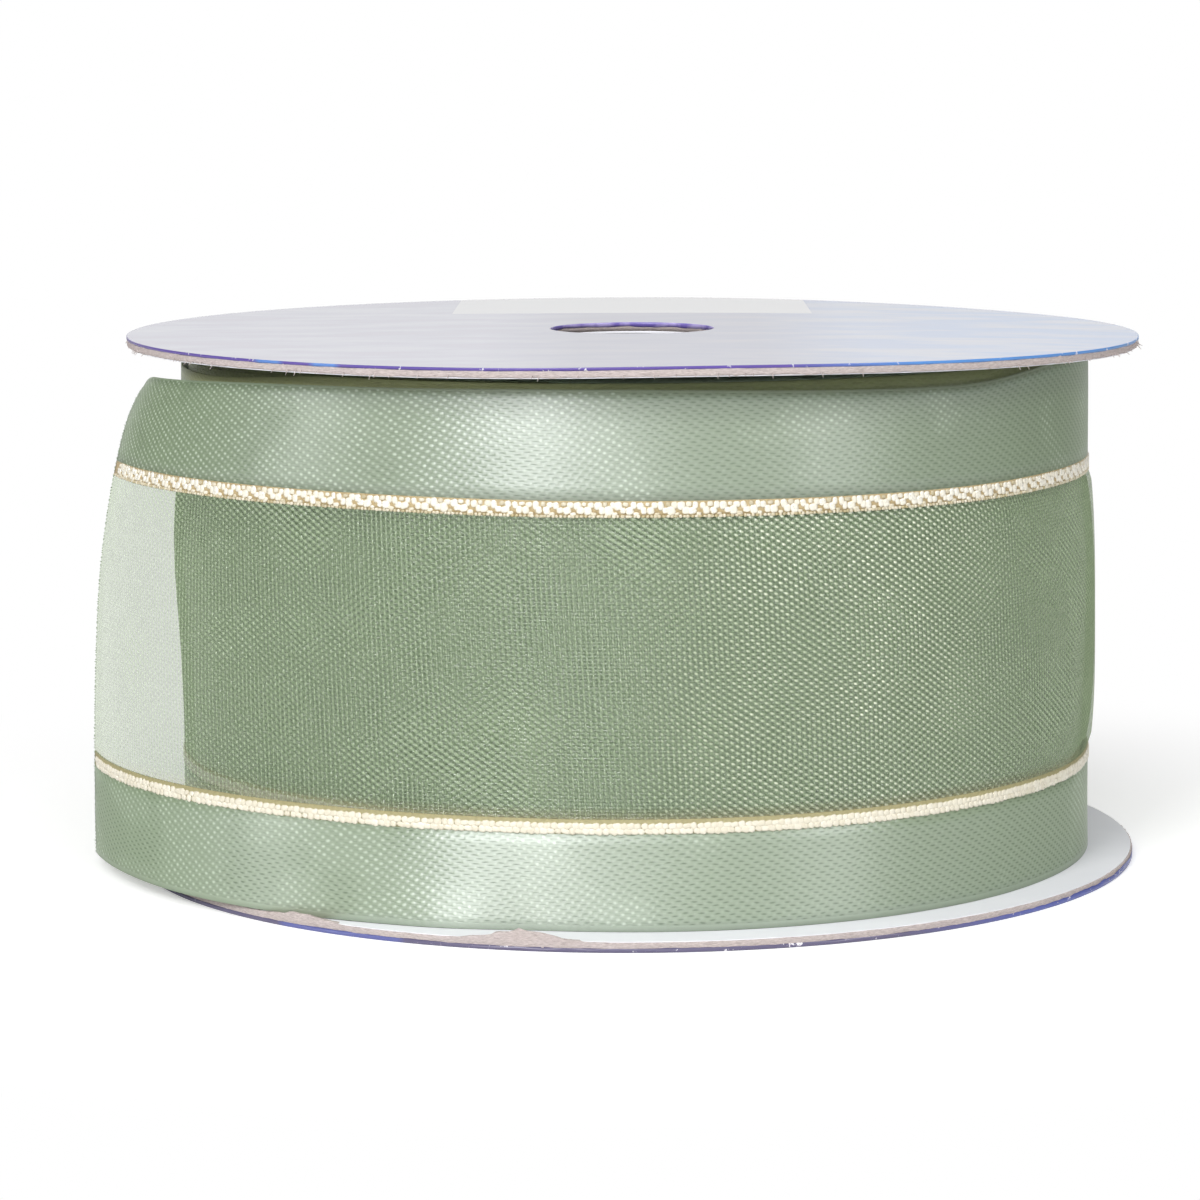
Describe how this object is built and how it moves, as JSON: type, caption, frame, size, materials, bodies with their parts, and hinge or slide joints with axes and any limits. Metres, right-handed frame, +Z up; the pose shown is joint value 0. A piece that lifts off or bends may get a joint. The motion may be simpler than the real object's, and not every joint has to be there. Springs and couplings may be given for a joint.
{
  "type": "ribbon spool",
  "caption": "Card spool with a finger hole, wound with sheer green ribbon that has satin borders and gold cords, its outer turn sprung loose.",
  "frame": {"origin": "on the axis of the finger hole, at the underside of the lower disc, where the spool stands", "axes": "+Z up along the finger hole; -Y towards the viewer of the picture; the loose turn stands off at -X"},
  "size_m": [0.0843, 0.0814, 0.0426],
  "materials": {
    "printed_label": "gloss print, violet to blue",
    "greyboard": "bare pulp board with a die-cut, fibrous rim",
    "white_liner": "smooth white paper",
    "hot_melt_glue": "set glue, cloudy and glossy",
    "core_paperboard": "spiral-wound brown paperboard",
    "paper_tape": "cream paper tape",
    "satin": "sage green satin weave with a soft sheen",
    "gold_cord": "pale gold metallised yarn",
    "organza": "sheer green plain weave with fine glints"
  },
  "bodies": {
    "spool": {"lower_label": "printed_label", "lower_board": "greyboard", "lower_liner": "white_liner", "lower_glue_bead": "hot_melt_glue", "core_tube": "core_paperboard", "upper_glue_bead": "hot_melt_glue", "start_tape": "paper_tape", "inner_turns": "satin", "wound_lower_satin": "satin", "wound_lower_gold": "gold_cord", "wound_organza": "organza", "wound_upper_gold": "gold_cord", "wound_upper_satin": "satin", "upper_liner": "white_liner", "upper_board": "greyboard", "upper_label": "printed_label"},
    "ribbon_tail": {"tail_lower_satin": "satin", "tail_lower_gold": "gold_cord", "tail_organza": "organza", "tail_upper_gold": "gold_cord", "tail_upper_satin": "satin"}
  },
  "joints": [
    {"name": "tail_lift", "type": "hinge", "parent": "spool", "child": "ribbon_tail", "pos_m": [-0.00673, -0.03646, 0.0211], "axis": [0, 0, 1], "range_deg": [0, 60]}
  ]
}
